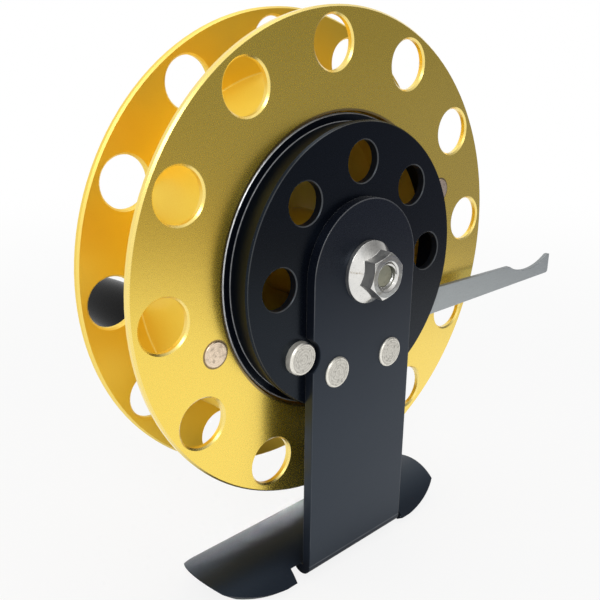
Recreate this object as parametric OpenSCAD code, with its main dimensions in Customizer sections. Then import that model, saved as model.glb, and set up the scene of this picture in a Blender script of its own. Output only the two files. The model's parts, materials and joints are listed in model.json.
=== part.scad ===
// Ice fishing reel: a drilled spool on two ball bearings, hung on a folded sheet-metal stand,
// with a sprung brake lever that runs inside the side cover.
// The origin lies on the axis of the rod that the foot sits on, straight below the axle.
// X runs along the rod, Y along the axle away from the stand, Z up.

/* [Spool] */
// Outer diameter of both flanges
flange_d = 95; // [90:1:110]
// Thickness of each flange plate
flange_t = 1.5; // [1.2:0.1:2.5]
// Clear width between the flanges, where the line is wound
line_w = 14.6; // [12:0.2:24]
// Outer diameter of the drum
drum_d = 71.8; // [68:0.2:72.4]
// Thickness of the drum's wall, which also carries the handle posts
drum_wall = 6.4; // [6:0.1:8]
// How far the front flange stands inside the bore of the drum
flange_lip = 0.3; // [0:0.1:1]
// Number of lightening holes in each flange
hole_n = 12; // [6:2:12]
// Diameter of a lightening hole
hole_d = 9.5; // [6:0.1:10]
// Metal left between a lightening hole and the rim of the flange
hole_rim = 1.6; // [1:0.1:3]
// Turned position of the spool, as the angle of its first lightening hole
spool_turn = 4.3; // [0:0.1:30]
// Bright chamfer on the rims and holes of the flanges
chamfer = 0.35; // [0.1:0.05:0.5]

/* [Bearings] */
// Bore of a bearing
bearing_bore = 5; // [5:0.5:6]
// Outer diameter of a bearing
bearing_od = 13; // [13:0.5:15]
// Width of a bearing
bearing_w = 4; // [4:0.5:5]
// Diameter of a ball
ball_d = 2; // [1.8:0.1:2.2]
// Number of balls in a bearing
ball_n = 8; // [6:1:9]
// Thickness of a bearing shield
shield_t = 0.25; // [0.2:0.05:0.3]
// Depth of the seat that a shield is pressed into
shield_seat = 0.35; // [0.3:0.05:0.5]
// Gap between a shield and the inner race
shield_gap = 0.15; // [0.1:0.05:0.2]
// Height of a race's shoulder, as a share of the ball's radius
race_share = 0.6; // [0.5:0.05:0.7]
// Thickness of a ball cage
cage_t = 0.9; // [0.6:0.1:0.9]
// Metal of the cage on each side of a ball
cage_rim = 0.2; // [0.2:0.05:0.4]

/* [Hub] */
// Wall of the hub round the front bearing
hub_wall = 0.8; // [0.6:0.1:1.5]
// Thickness of the steel brake ring on the nose of the hub
brake_ring_t = 0.8; // [0.6:0.1:1.5]
// Height of the shoulder behind the brake ring
hub_step = 0.9; // [0.6:0.1:1.5]
// Width of the shoulders that the bearings seat against
bearing_stop = 0.9; // [0.6:0.1:1.2]
// Diameter of the plate by which the hub is screwed to the rear flange
hub_plate_d = 34; // [30:1:44]
// Thickness of that plate
hub_plate_t = 2.5; // [2:0.1:4]
// Number of hub screws
hub_screw_n = 4; // [3:1:6]
// Thread diameter of a hub screw
hub_screw_d = 2.5; // [2:0.1:3]
// Angle between the hub screws and the handle posts
hub_screw_turn = 45; // [0:5:90]
// Metal left in front of the blind holes of the hub screws
hub_screw_skin = 0.6; // [0.4:0.1:1]
// Width across the flats of the socket in a hub screw
hub_socket_af = 1.5; // [1.2:0.1:1.8]
// Depth of that socket
hub_socket_h = 0.8; // [0.5:0.1:1]

/* [Cover] */
// Height of the cover's face above the front flange
cover_h = 5.2; // [5:0.1:6.5]
// Thickness of the cover's face
cover_face_t = 1.6; // [1.2:0.1:2]
// Thickness of the cover's skirt
cover_wall = 1.1; // [0.8:0.1:2]
// Running gap between the cover's lip and the bore of the front flange
cover_gap = 0.4; // [0.2:0.05:0.6]
// Width of the lip at the foot of the skirt
cover_lip_w = 1.6; // [1:0.1:2.5]
// Thickness of the lip
cover_lip_t = 0.9; // [0.6:0.1:1.2]
// How far the lip lies below the face of the flange
cover_lip_sink = 0.3; // [0:0.1:0.5]
// How far the edge of the face stands out past the foot of the skirt
cover_flare = 0.7; // [0:0.1:1.2]
// Edge break of the cover's rims
cover_edge = 0.3; // [0.1:0.05:0.4]
// Number of steps of the half circle of holes in the cover
cover_hole_steps = 4; // [2:1:5]
// Diameter of a hole in the cover
cover_hole_d = 7.9; // [5:0.1:9]
// Metal left between a cover hole and the inside of the skirt
cover_hole_rim = 1.7; // [1:0.1:3]
// Edge break of the cover's holes
cover_hole_edge = 0.2; // [0.1:0.05:0.4]

/* [Stand] */
// Width of the stem
stem_w = 28; // [24:0.5:32]
// Thickness of the sheet
sheet_t = 2; // [1.5:0.1:2.5]
// Height of the axle above the axis of the rod
axle_h = 70; // [68:1:90]
// Distance of the stem's back face in front of the axis of the rod
stem_forward = 9; // [8:0.1:10]
// Inside radius of the foot's saddle, the radius of the rod
saddle_r = 10.5; // [10:0.1:13]
// Angle from the ridge to the edge of the foot beside the stem
saddle_angle = 55.5; // [50:0.5:62]
// Angle from the ridge to the edge of the foot at its tips
tip_angle = 40; // [34:1:48]
// Radius of the curved edges of the wings
wing_edge_r = 26; // [24:1:60]
// Reach of the foot to the left of the axle
foot_left = 34.7; // [32:0.1:40]
// Reach of the foot to the right of the axle
foot_right = 31.9; // [30:0.1:40]
// Setback of the left tip for each millimetre down from the ridge
left_undercut = 1.2; // [0:0.1:1.4]
// Setback of the right tip for each millimetre down from the ridge
right_undercut = 0.3; // [0:0.1:1.4]
// Inside radius of the fold between stem and foot
fold_r = 0.5; // [0.3:0.1:1.2]
// Width of the relief notch on each side of the fold
relief_w = 2.6; // [1:0.1:4]
// Distance between the two rivets
rivet_pitch = 15.3; // [12:0.1:17]
// Distance of the rivets below the axle
rivet_drop = 18.6; // [17.6:0.1:20]
// Diameter of a rivet's head
rivet_head_d = 6.2; // [5:0.1:6.8]
// Diameter of a rivet's shank
rivet_d = 3.8; // [3:0.1:4.5]
// Height of a rivet's head above the stem
rivet_head_h = 0.45; // [0.2:0.05:1]
// Room round the head of the pivot pin in the edge of the stem
pivot_room = 0.6; // [0.4:0.1:1]

/* [Lever] */
// Distance of the pivot to the left of the axle
pivot_left = 15.9; // [15:0.1:17]
// Distance of the pivot below the axle
pivot_drop = 13.9; // [13.5:0.1:15]
// Diameter of the pivot pin
pivot_d = 3.2; // [2.5:0.1:3.6]
// Diameter of the pivot pin's head
pivot_head_d = 6.4; // [5:0.1:7]
// Height of the pivot pin's head above the cover
pivot_head_h = 1.5; // [1:0.1:2.5]
// Edge break of the pivot pin
pivot_edge = 0.3; // [0.1:0.05:0.4]
// Radius of the lever's eye
lever_eye_r = 3; // [2.6:0.1:3.4]
// Distance of the lever's straight lower edge below the pivot
lever_drop = 2.1; // [1.6:0.1:2.6]
// Thickness of the lever
lever_t = 1; // [0.8:0.1:1.6]
// Reach of the lever's tip to the right of the axle
lever_reach = 76.6; // [70:0.2:95]
// Height of the lever below the hub
lever_root_h = 6.4; // [6:0.1:7]
// Height of the lever at the finger hook
lever_tip_h = 5; // [4.6:0.1:6]
// Radius of the finger scoop
scoop_r = 18.8; // [14:0.2:24]
// Depth of the finger scoop
scoop_depth = 2.3; // [1.5:0.1:3]
// Width of the flat top of the hook
hook_w = 1; // [0.8:0.1:5]
// Rounding of the hook's lower corner
hook_round = 0.8; // [0.5:0.1:2]
// Downward swing of the lever, in degrees
lever_swing = 5; // [2:0.5:6]
// Thickness of the washer between cover and lever
pivot_washer_t = 0.35; // [0.3:0.05:0.5]
// Width of the brake shoe
shoe_w = 12; // [8:0.5:14]
// Thickness of the brake shoe
shoe_t = 2.6; // [2:0.1:2.8]
// Height of the brake shoe
shoe_h = 6.2; // [5:0.1:7]
// Gap between the brake shoe and the brake ring
shoe_gap = 0.15; // [0.1:0.05:0.4]
// How far the ends of the shoe reach up beside the brake ring
shoe_wrap = 3.3; // [2:0.1:4]
// Distance of the shoe's rivets below the face of the shoe
shoe_rivet_drop = 3.7; // [3:0.1:4.4]
// Diameter of a shoe rivet
shoe_rivet_d = 1.6; // [1.2:0.1:2]
// Wire of the lever spring
spring_wire = 0.7; // [0.5:0.05:0.8]
// Number of coils of the lever spring
spring_turns = 3; // [2:1:4]
// Pitch of its coils
spring_pitch = 1.2; // [1.1:0.05:1.6]
// Room between the pivot pin and the coils
spring_room = 0.55; // [0.4:0.05:0.7]
// Gap between the lever and the first coil
spring_gap = 0.15; // [0.1:0.05:0.3]
// Distance from the pivot to the hook of the spring under the lever
spring_leg = 7.5; // [6:0.5:8]
// Thickness of the retaining clip
clip_t = 0.5; // [0.4:0.1:0.8]
// Depth of the clip's groove
clip_depth = 0.35; // [0.25:0.05:0.5]
// How far the clip reaches past the middle of the spring's wire
clip_rim = 0.4; // [0.2:0.1:0.6]
// Gap between the last coil and the clip
clip_gap = 0.2; // [0.1:0.05:0.4]
// Length of the pivot pin past the clip
pin_tail = 0.6; // [0.4:0.1:1]

/* [Handles] */
// Diameter of a handle post inside the spool
post_d = 4.8; // [4:0.1:5]
// Height of a post's riveted end above the front flange
post_end_h = 0.2; // [0.1:0.05:0.4]
// Diameter of the collar of a post
collar_d = 7.2; // [6:0.1:8]
// Thickness of the collar
collar_t = 1; // [0.6:0.1:2]
// Diameter of the spindle that a knob turns on
spindle_d = 3.6; // [3:0.1:4]
// Largest diameter of a knob
knob_d = 10.8; // [10:0.1:14]
// Length of a knob
knob_l = 22; // [18:1:36]
// How much slimmer the ends of a knob are than its middle, in radius
knob_swell = 0.5; // [0.3:0.1:1]
// Rounding of the edges of a knob
knob_round = 1.1; // [0.5:0.1:1.2]
// Depth of the recess for the screw in the end of a knob
knob_recess = 2.6; // [2.2:0.1:5]
// Wall of a knob round that recess
knob_rim = 1.3; // [1:0.1:1.6]
// Room round the washer in the recess
knob_washer_room = 0.3; // [0.2:0.05:0.5]
// Thickness of a knob washer
knob_washer_t = 0.5; // [0.4:0.1:0.8]
// Thread diameter of a knob screw
knob_screw_d = 2; // [1.6:0.1:2.5]
// Height of a knob screw's head
knob_screw_head_h = 1.2; // [1:0.1:1.4]
// Length of a knob screw in its post
knob_screw_l = 6; // [4:0.5:10]
// Width of the slot in a knob screw
slot_w = 0.5; // [0.4:0.1:0.6]

/* [Axle] */
// Width across the flats of the nut and of the bolt's head
nut_af = 8; // [8:0.5:10]
// Height of the flange nut
nut_h = 5.2; // [4.6:0.1:6]
// Diameter of the nut's flange
nut_flange_d = 12.2; // [11:0.1:14]
// Thickness of the rim of the nut's flange
nut_rim_t = 0.85; // [0.6:0.05:1.2]
// Height of the cone above that rim
nut_cone_t = 1.8; // [0.6:0.1:2]
// Turned position of the nut
nut_turn = 18; // [0:1:60]
// How far the end of the bolt lies inside the nut
bolt_sunk = 1; // [0:0.1:2]
// Chamfer at the end of the bolt
bolt_chamfer = 0.4; // [0.2:0.05:0.6]
// Countersink in the mouth of the nut
nut_mouth = 0.55; // [0.3:0.05:0.8]
// Clearance round the bolt in the stem and the cover
bolt_clearance = 0.15; // [0.1:0.05:0.3]
// Height of the bolt's head
bolt_head_h = 3.5; // [3:0.1:5]
// Thickness of the spacer between cover and front bearing
front_spacer_t = 1; // [0.8:0.1:1.2]
// Thickness of the spacer between rear bearing and bolt head
rear_spacer_t = 1; // [0.8:0.1:2]
// How much smaller in radius a spacer is than the shoulder of a race
spacer_step = 0.2; // [0.1:0.05:0.3]

/* [Fits] */
// Radial clearance of a running fit
running_fit = 0.05; // [0.03:0.01:0.08]
// Radial clearance of a ball in its raceways
ball_fit = 0.03; // [0.02:0.01:0.05]
// End play of a turning piece
end_play = 0.1; // [0.05:0.05:0.3]
// Room round a piece that swings
swing_room = 0.6; // [0.4:0.1:1]

/* [Hidden] */
$fn = 96;
// How far a cutter runs past what it cuts
over = 1;
// Overlap of stretches of one sheet
weld = 0.01;
// Points of the spring's centre line in one turn, and facets round its wire
coil_steps = 24;
wire_facets = 6;
// Facets of the wide arc of a knob's barrel
bow_facets = 360;

// Colours of the finishes
gold = "#d8a828";
black = "#1c1f27";
steel = "#b9bcc0";
grey = "#8b9095";

// The spool, in the axle frame: X right, Y up, Z towards the viewer, with the face of the front flange at 0
flange_r = flange_d / 2;
drum_r = drum_d / 2;
drum_bore_r = drum_r - drum_wall;
flange_bore_r = drum_bore_r - flange_lip;
hole_ring_r = flange_r - hole_rim - hole_d / 2;
post_ring_r = drum_r - drum_wall / 2;
post_turn = spool_turn + 180 / hole_n;
spool_w = line_w + 2 * flange_t;

// The cover, from the lip that runs in the flange to the face that the stem is riveted to
lip_r = flange_bore_r - cover_gap;
neck_r = lip_r - cover_lip_w;
cover_face_r = neck_r + cover_flare;
cover_inside_r = neck_r - cover_wall;
cover_inside_z = cover_h - cover_face_t;
lip_front_z = -cover_lip_sink;
lip_back_z = lip_front_z - cover_lip_t;
cover_hole_ring_r = cover_inside_r - cover_hole_rim - cover_hole_d / 2;
stem_front_z = cover_h + sheet_t;

// The bearings, clamped between the cover and the head of the bolt
front_bearing_z = cover_inside_z - front_spacer_t - bearing_w;
rear_bearing_z = -spool_w;
ball_ring_r = (bearing_bore + bearing_od) / 4;
ball_r = ball_d / 2;
shoulder = race_share * ball_r;
inner_race_r = ball_ring_r - shoulder;
outer_race_r = ball_ring_r + shoulder;
cage_w = ball_d + 2 * cage_rim;
bolt_r = bearing_bore / 2 - running_fit;
bolt_hole_r = bolt_r + bolt_clearance;
spacer_r = inner_race_r - spacer_step;
nut_front_z = stem_front_z + nut_h;
bolt_end_z = nut_front_z - bolt_sunk;
bolt_head_z = rear_bearing_z - rear_spacer_t;

// The hub
nose_r = bearing_od / 2 + hub_wall;
brake_r = nose_r + brake_ring_t;
hub_r = brake_r + hub_step;
hub_bore_r = bearing_od / 2 - bearing_stop;
hub_front_z = front_bearing_z + bearing_w;
hub_plate_r = hub_plate_d / 2;
rear_flange_z = -spool_w + flange_t;
hub_screw_ring_r = (hub_r + hub_plate_r) / 2;
hub_screw_head_r = hub_screw_d;
screw_depth = hub_plate_t - hub_screw_skin;

// The lever, which swings in the space behind the cover's face
lever_front_z = cover_inside_z - pivot_washer_t - running_fit;
lever_back_z = lever_front_z - lever_t;
pivot = [-pivot_left, -pivot_drop];
pivot_r = pivot_d / 2;
lever_bottom = -pivot_drop - lever_drop;
lever_tip_top = lever_bottom + lever_tip_h;
lever_root_top = lever_bottom + lever_root_h;
scoop_half_w = sqrt(scoop_r * scoop_r - pow(scoop_r - scoop_depth, 2));
scoop_x = lever_reach - hook_w - scoop_half_w;
lever_peak_x = scoop_x - scoop_half_w;
lever_root_x = brake_r;
shoe_top_r = brake_r + shoe_gap;
shoe_back_z = lever_back_z - shoe_t;
shoe_rivet_x = shoe_w / 4;
shoe_rivet_y = -shoe_top_r - shoe_rivet_drop;
slot_bottom = lever_bottom - (cover_face_r + pivot_left) * sin(lever_swing) - swing_room;
slot_top = lever_root_top + swing_room;

// The spring on the pivot pin, and the clip that closes the pin
spring_r = pivot_r + spring_room + spring_wire / 2;
spring_front_z = lever_back_z - spring_gap - spring_wire / 2;
spring_back_z = spring_front_z - spring_turns * spring_pitch;
clip_groove_r = pivot_r - clip_depth;
clip_r = spring_r + clip_rim;
clip_mouth_w = 1.6 * clip_groove_r;
clip_z = spring_back_z - spring_wire / 2 - clip_gap - clip_t;
pin_end_z = clip_z - pin_tail;

// The posts and knobs behind the rear flange
post_r = post_d / 2;
spindle_r = spindle_d / 2;
collar_back_z = rear_bearing_z - collar_t;
knob_front_z = collar_back_z - end_play;
knob_back_z = knob_front_z - knob_l;
knob_seat_z = knob_back_z + knob_recess;
spindle_end_z = knob_seat_z - end_play;
knob_bore_r = spindle_r + running_fit;
knob_end_r = knob_d / 2 - knob_swell;
knob_bow_r = (pow(knob_l / 2, 2) + knob_swell * knob_swell) / (2 * knob_swell);
knob_recess_r = knob_end_r - knob_rim;
knob_washer_r = knob_recess_r - knob_washer_room;
knob_screw_head_r = knob_screw_d;

// The stand, drawn in the plane across the rod
flange_y = cover_h - stem_forward;
saddle_out_r = saddle_r + sheet_t;
fold_y = fold_r - stem_forward;
fold_z = sqrt(pow(saddle_out_r + fold_r, 2) - fold_y * fold_y);
fold_angle = atan2(-fold_y, fold_z);
weld_angle = weld / saddle_out_r * 180 / PI;
wing_x = stem_w / 2 + relief_w;

// Moves a piece from the axle frame to the stand
module on_axle() {
    translate([0, flange_y, axle_h]) rotate([90, 0, 0]) children();
}

// A round piece with a bore, from z = low to z = high
module ring(outer_r, inner_r, low, high) {
    translate([0, 0, low]) difference() {
        cylinder(r = outer_r, h = high - low);
        translate([0, 0, -over]) cylinder(r = inner_r, h = high - low + 2 * over);
    }
}

// Copies of a piece spread evenly on a circle
module on_circle(count, radius, turn = 0) {
    for (i = [0 : count - 1]) rotate([0, 0, turn + i * 360 / count]) translate([radius, 0, 0]) children();
}

// The material outside a convex rounded corner that points to the lower right
module corner_scrap(radius) {
    difference() {
        translate([-radius, -over]) square([radius + over, radius + over]);
        translate([-radius, radius]) circle(radius);
    }
}

// Hexagonal prism with the corners of its far end turned down
module hexagon(flats, height) {
    corner_r = flats / 2 / cos(30);
    intersection() {
        cylinder(r = corner_r, h = height, $fn = 6);
        cylinder(r1 = flats / 2 + height / tan(30), r2 = flats / 2, h = height);
    }
}

// Stand: stem, fold and saddle foot from one sheet

module stem_outline() {
    half_w = stem_w / 2;
    difference() {
        union() {
            circle(half_w);
            translate([-half_w, fold_z - axle_h - weld]) square([stem_w, axle_h - fold_z + weld]);
        }
        circle(bolt_hole_r);
        translate(pivot) circle(pivot_head_d / 2 + pivot_room);
        for (side = [-1, 1]) translate([side * rivet_pitch / 2, -rivet_drop]) circle(rivet_d / 2);
    }
}

// Extrudes a section drawn in (Y, Z) along the rod
module along_rod(length) {
    rotate([90, 0, 90]) linear_extrude(length, center = true) children();
}

module fold_section() {
    reach = 3 * (fold_r + sheet_t);
    intersection() {
        translate([fold_y, fold_z]) difference() {
            circle(fold_r + sheet_t);
            circle(fold_r);
        }
        translate([fold_y, fold_z]) polygon([
            [0, 0], [-reach, 0], [-reach, -reach], [reach * sin(fold_angle), -reach * cos(fold_angle)]
        ]);
    }
}

module saddle_section() {
    top = 2 * saddle_out_r;
    intersection() {
        difference() {
            circle(saddle_out_r);
            circle(saddle_r);
        }
        polygon([[0, 0], [-top * tan(saddle_angle), top], [top * tan(saddle_angle), top]]);
    }
}

// Wedge in front of the fold, where the sheet turns up into the stem
module front_opening() {
    reach = 2 * saddle_out_r;
    start_angle = fold_angle + weld_angle;
    along_rod(2 * wing_x) polygon([
        [0, 0], [-reach * sin(start_angle), reach * cos(start_angle)], [-reach, 0]
    ]);
}

// Curves one edge of one wing, cut square to the sheet, from just off the corner of the saddle
module wing_edge(reach) {
    mid_angle = (saddle_angle + tip_angle) / 2;
    drop = (saddle_out_r + over) * sin((saddle_angle - tip_angle) / 2);
    centre_y = wing_edge_r - drop;
    rotate([mid_angle, 0, 0]) translate([wing_x, 0, 0]) linear_extrude(2 * saddle_r) difference() {
        translate([0, -saddle_r]) square([reach + over - wing_x, saddle_r + centre_y]);
        translate([0, centre_y]) circle(wing_edge_r);
    }
}

// Cuts one tip of the foot so that its end leans in under the ridge
module foot_tip(reach, undercut) {
    top = saddle_out_r + over;
    far_x = reach + 2 * over;
    rotate([90, 0, 0]) linear_extrude(2 * top, center = true) polygon([
        [reach - undercut * saddle_out_r, 0], [reach + undercut * over, top], [far_x, top], [far_x, 0]
    ]);
}

module wing_cuts(reach, undercut) {
    wing_edge(reach);
    mirror([0, 1, 0]) wing_edge(reach);
    foot_tip(reach, undercut);
}

module stand() color(black) {
    on_axle() translate([0, 0, cover_h]) linear_extrude(sheet_t) stem_outline();
    along_rod(stem_w) fold_section();
    difference() {
        translate([(foot_right - foot_left) / 2, 0, 0]) along_rod(foot_left + foot_right) saddle_section();
        front_opening();
        wing_cuts(foot_right, right_undercut);
        mirror([1, 0, 0]) wing_cuts(foot_left, left_undercut);
    }
}

// Side cover and what is fastened to it

module side_cover() color(black) on_axle() difference() {
    rotate_extrude() polygon([
        [0, cover_inside_z], [cover_inside_r, cover_inside_z], [cover_inside_r, lip_back_z],
        [lip_r, lip_back_z], [lip_r, lip_front_z - cover_edge], [lip_r - cover_edge, lip_front_z],
        [neck_r, lip_front_z], [cover_face_r, cover_h - 2 * cover_edge],
        [cover_face_r - cover_edge, cover_h], [0, cover_h]
    ]);
    translate([0, 0, lip_back_z]) cylinder(r = bolt_hole_r, h = cover_h - lip_back_z + over);
    for (i = [0 : cover_hole_steps]) rotate([0, 0, i * 180 / cover_hole_steps])
        translate([cover_hole_ring_r, 0, 0]) {
            cylinder(d = cover_hole_d, h = cover_h + over);
            translate([0, 0, cover_h - cover_hole_edge])
                cylinder(d1 = cover_hole_d, d2 = cover_hole_d + 4 * cover_hole_edge, h = 2 * cover_hole_edge);
        }
    for (side = [-1, 1]) translate([side * rivet_pitch / 2, -rivet_drop, 0])
        cylinder(d = rivet_d, h = cover_h + over);
    translate([pivot.x, pivot.y, 0]) cylinder(r = pivot_r, h = cover_h + over);
    lever_slot();
}

// Window in the skirt that the lever swings in
module lever_slot() {
    low_z = lever_back_z - swing_room / 2;
    translate([brake_r, slot_bottom, low_z])
        cube([cover_face_r, slot_top - slot_bottom, cover_inside_z - low_z]);
}

module cover_rivets() color(steel) on_axle() {
    edge = rivet_head_h / 2;
    head_r = rivet_head_d / 2;
    top_z = stem_front_z + rivet_head_h;
    for (side = [-1, 1]) translate([side * rivet_pitch / 2, -rivet_drop, 0]) rotate_extrude() polygon([
        [0, cover_inside_z], [rivet_d / 2, cover_inside_z], [rivet_d / 2, stem_front_z],
        [head_r, stem_front_z], [head_r, top_z - edge], [head_r - edge, top_z], [0, top_z]
    ]);
}

module lever_pivot() color(steel) on_axle() translate([pivot.x, pivot.y, 0]) {
    head_r = pivot_head_d / 2;
    head_z = cover_h + pivot_head_h;
    rotate_extrude() polygon([
        [0, pin_end_z], [pivot_r - pivot_edge, pin_end_z], [pivot_r, pin_end_z + pivot_edge],
        [pivot_r, clip_z], [clip_groove_r, clip_z], [clip_groove_r, clip_z + clip_t],
        [pivot_r, clip_z + clip_t], [pivot_r, cover_h], [head_r, cover_h],
        [head_r, head_z - pivot_edge], [head_r - pivot_edge, head_z], [0, head_z]
    ]);
}

module pivot_washer() color(steel) on_axle() translate([pivot.x, pivot.y, 0])
    ring(lever_eye_r, pivot_r + running_fit, cover_inside_z - pivot_washer_t, cover_inside_z);

module clip_outline() {
    difference() {
        circle(clip_r);
        circle(clip_groove_r);
        translate([-clip_mouth_w / 2, 0]) square([clip_mouth_w, clip_r + over]);
    }
}

module pivot_clip() color(grey) on_axle()
    translate([pivot.x, pivot.y, clip_z]) linear_extrude(clip_t) clip_outline();

// Centre line of the spring: a leg on the skirt, the coils, and a leg that hooks under the lever
function spring_route() =
    let (
        low_y = pivot.y - spring_r,
        wall_x = -sqrt(pow(cover_inside_r - spring_wire / 2, 2) - low_y * low_y),
        hook_x = pivot.x + spring_leg,
        hook_y = lever_bottom - spring_wire / 2 - running_fit,
        steps = coil_steps * spring_turns
    )
    concat(
        [[wall_x, low_y, spring_front_z]],
        [for (i = [0 : steps])
            let (a = i * 360 / coil_steps - 90)
            [pivot.x + spring_r * cos(a), pivot.y + spring_r * sin(a),
             spring_front_z - spring_pitch * i / coil_steps]],
        [[hook_x - spring_wire, hook_y, spring_back_z], [hook_x, hook_y, spring_back_z + spring_wire],
         [hook_x, hook_y, lever_front_z]]
    );

function unit(v) = v / norm(v);

// Direction of the route at each of its points
function headings(route) = [for (i = [0 : len(route) - 1])
    unit(route[min(i + 1, len(route) - 1)] - route[max(i - 1, 0)])];

// Side vectors carried along the route without twisting
function sides(ahead, first) = [for (
    i = 0, s = unit(first - (first * ahead[0]) * ahead[0]);
    i < len(ahead);
    i = i + 1, s = i < len(ahead) ? unit(s - (s * ahead[i]) * ahead[i]) : s) s];

// Round wire along a route
module wire(route, diameter, facets) {
    ahead = headings(route);
    side = sides(ahead, [0, 0, 1]);
    last = len(route) - 1;
    points = [for (i = [0 : last], k = [0 : facets - 1])
        let (a = 360 * k / facets, up = cross(ahead[i], side[i]))
        route[i] + diameter / 2 * (cos(a) * side[i] + sin(a) * up)];
    walls = [for (i = [0 : last - 1], k = [0 : facets - 1])
        let (a = i * facets + k, b = i * facets + (k + 1) % facets)
        each [[a, a + facets, b + facets], [a, b + facets, b]]];
    ends = [for (k = [1 : facets - 2])
        each [[0, k, k + 1], [last * facets, last * facets + k + 1, last * facets + k]]];
    polyhedron(points, concat(walls, ends));
}

module lever_spring() color(grey) on_axle() wire(spring_route(), spring_wire, wire_facets);

// Axle

module axle_bolt() color(steel) on_axle() {
    shank_end_z = bolt_end_z - bolt_chamfer;
    translate([0, 0, bolt_head_z]) rotate([180, 0, 0]) hexagon(nut_af, bolt_head_h);
    translate([0, 0, bolt_head_z]) cylinder(r = bolt_r, h = shank_end_z - bolt_head_z);
    translate([0, 0, shank_end_z]) cylinder(r1 = bolt_r, r2 = bolt_r - bolt_chamfer, h = bolt_chamfer);
}

module axle_nut() color(steel) on_axle() translate([0, 0, stem_front_z]) {
    rim_r = nut_flange_d / 2;
    difference() {
        union() {
            rotate([0, 0, nut_turn]) hexagon(nut_af, nut_h);
            cylinder(r = rim_r, h = nut_rim_t);
            translate([0, 0, nut_rim_t]) cylinder(r1 = rim_r, r2 = nut_af / 2, h = nut_cone_t);
        }
        translate([0, 0, -over]) cylinder(r = bolt_r + running_fit, h = nut_h + 2 * over);
        translate([0, 0, nut_h - nut_mouth])
            cylinder(r1 = bolt_r, r2 = bolt_r + 2 * nut_mouth, h = 2 * nut_mouth);
    }
}

module front_spacer() color(steel) on_axle()
    ring(spacer_r, bolt_r + running_fit, hub_front_z, cover_inside_z);

module bearing_spacer() color(steel) on_axle()
    ring(spacer_r, bolt_r + running_fit, rear_bearing_z + bearing_w, front_bearing_z);

module rear_spacer() color(steel) on_axle()
    ring(spacer_r, bolt_r + running_fit, bolt_head_z, rear_bearing_z);

// Bearings

module raceway() {
    translate([ball_ring_r, bearing_w / 2]) circle(ball_r + ball_fit);
}

module inner_race(z) color(steel) on_axle() translate([0, 0, z]) rotate_extrude() difference() {
    translate([bearing_bore / 2, 0]) square([inner_race_r - bearing_bore / 2, bearing_w]);
    raceway();
}

module outer_race(z) color(steel) on_axle() translate([0, 0, z]) rotate_extrude() difference() {
    translate([outer_race_r, 0]) square([bearing_od / 2 - outer_race_r, bearing_w]);
    raceway();
    for (low = [-over, bearing_w - shield_seat])
        translate([outer_race_r - over, low]) square(shield_seat + over);
}

module shields(z) {
    for (low = [shield_seat - shield_t, bearing_w - shield_seat])
        ring(outer_race_r + shield_seat, inner_race_r + shield_gap, z + low, z + low + shield_t);
}

module bearing_shields() color(grey) on_axle() {
    shields(front_bearing_z);
    shields(rear_bearing_z);
}

module balls(z) color(steel) on_axle() translate([0, 0, z + bearing_w / 2])
    on_circle(ball_n, ball_ring_r) sphere(ball_r);

module cage(z) color("#b08d3c") on_axle() translate([0, 0, z + bearing_w / 2]) difference() {
    ring(ball_ring_r + cage_t / 2, ball_ring_r - cage_t / 2, -cage_w / 2, cage_w / 2);
    on_circle(ball_n, ball_ring_r - cage_t) rotate([0, 90, 0])
        cylinder(r = ball_r + 2 * ball_fit, h = 2 * cage_t);
}

// Brake lever

module lever_outline() {
    difference() {
        union() {
            translate(pivot) circle(lever_eye_r);
            polygon([
                [pivot.x, lever_bottom], [lever_reach, lever_bottom], [lever_reach, lever_tip_top],
                [lever_peak_x, lever_tip_top], [lever_root_x, lever_root_top],
                [-lever_root_x, lever_root_top], [pivot.x, -pivot_drop + lever_eye_r]
            ]);
        }
        translate([scoop_x, lever_tip_top + scoop_r - scoop_depth]) circle(scoop_r);
        translate([lever_reach, lever_bottom]) corner_scrap(hook_round);
        translate(pivot) circle(pivot_r + running_fit);
        for (side = [-1, 1]) translate([side * shoe_rivet_x, shoe_rivet_y]) circle(shoe_rivet_d / 2);
    }
}

module brake_lever() color(grey) on_axle()
    translate([0, 0, lever_back_z]) linear_extrude(lever_t) lever_outline();

module shoe_outline() {
    difference() {
        translate([-shoe_w / 2, -shoe_top_r - shoe_h]) square([shoe_w, shoe_h + shoe_wrap]);
        circle(shoe_top_r);
        for (side = [-1, 1]) translate([side * shoe_rivet_x, shoe_rivet_y]) circle(shoe_rivet_d / 2);
    }
}

module brake_shoe() color("#5a4632") on_axle()
    translate([0, 0, shoe_back_z]) linear_extrude(shoe_t) shoe_outline();

module shoe_rivets() color(steel) on_axle() for (side = [-1, 1])
    translate([side * shoe_rivet_x, shoe_rivet_y, shoe_back_z])
        cylinder(d = shoe_rivet_d, h = shoe_t + lever_t);

// Spool

module flange_plate(bore_r) {
    rotate_extrude() polygon([
        [bore_r, 0], [flange_r - chamfer, 0], [flange_r, -chamfer],
        [flange_r, chamfer - flange_t], [flange_r - chamfer, -flange_t], [bore_r, -flange_t]
    ]);
}

module flange_holes() {
    on_circle(hole_n, hole_ring_r, spool_turn) {
        translate([0, 0, -flange_t - over]) cylinder(d = hole_d, h = flange_t + 2 * over);
        translate([0, 0, -chamfer]) cylinder(d1 = hole_d, d2 = hole_d + 4 * chamfer, h = 2 * chamfer);
        translate([0, 0, -flange_t - chamfer])
            cylinder(d1 = hole_d + 4 * chamfer, d2 = hole_d, h = 2 * chamfer);
    }
    on_circle(2, post_ring_r, post_turn) translate([0, 0, -flange_t - over])
        cylinder(r = post_r, h = flange_t + 2 * over);
}

module front_flange() color(gold) on_axle() difference() {
    flange_plate(flange_bore_r);
    flange_holes();
}

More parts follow.
